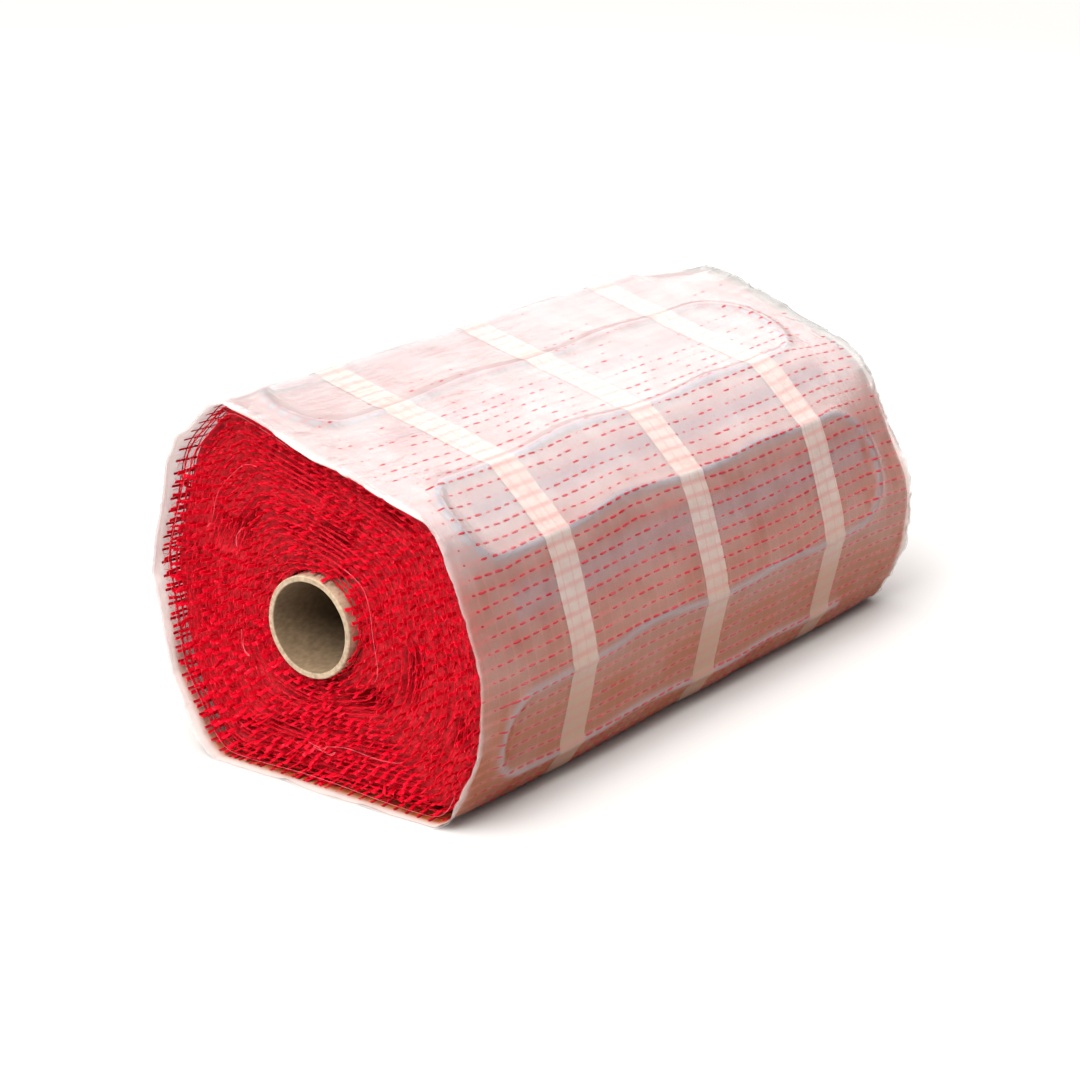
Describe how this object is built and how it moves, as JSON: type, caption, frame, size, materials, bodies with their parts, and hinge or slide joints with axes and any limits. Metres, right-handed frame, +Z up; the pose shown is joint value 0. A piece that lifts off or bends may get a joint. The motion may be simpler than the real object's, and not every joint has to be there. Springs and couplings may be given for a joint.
{
  "type": "underfloor heating mat roll",
  "caption": "Electric underfloor heating mat: red mesh carrying a heating cable, wound on a cardboard core and wrapped in frosted film.",
  "frame": {"origin": "on the floor under the middle of the roll's bounding box", "axes": "+X along the roll from its near end to its far end, +Z up, and -Y is the side seen in the picture"},
  "size_m": [0.516, 0.2566, 0.2348],
  "materials": {
    "cardboard": "plain kraft board",
    "mesh": "coated glass-fibre mesh",
    "cable": "smooth sheath",
    "tape": "thin adhesive tape",
    "film": "frosted see-through film"
  },
  "bodies": {
    "root": {"cardboard_core": "cardboard", "mesh_roll": "mesh", "heating_cable": "cable", "tape_strip_near": "tape", "tape_strip_middle": "tape", "tape_strip_far": "tape", "film_wrap": "film"}
  },
  "joints": []
}
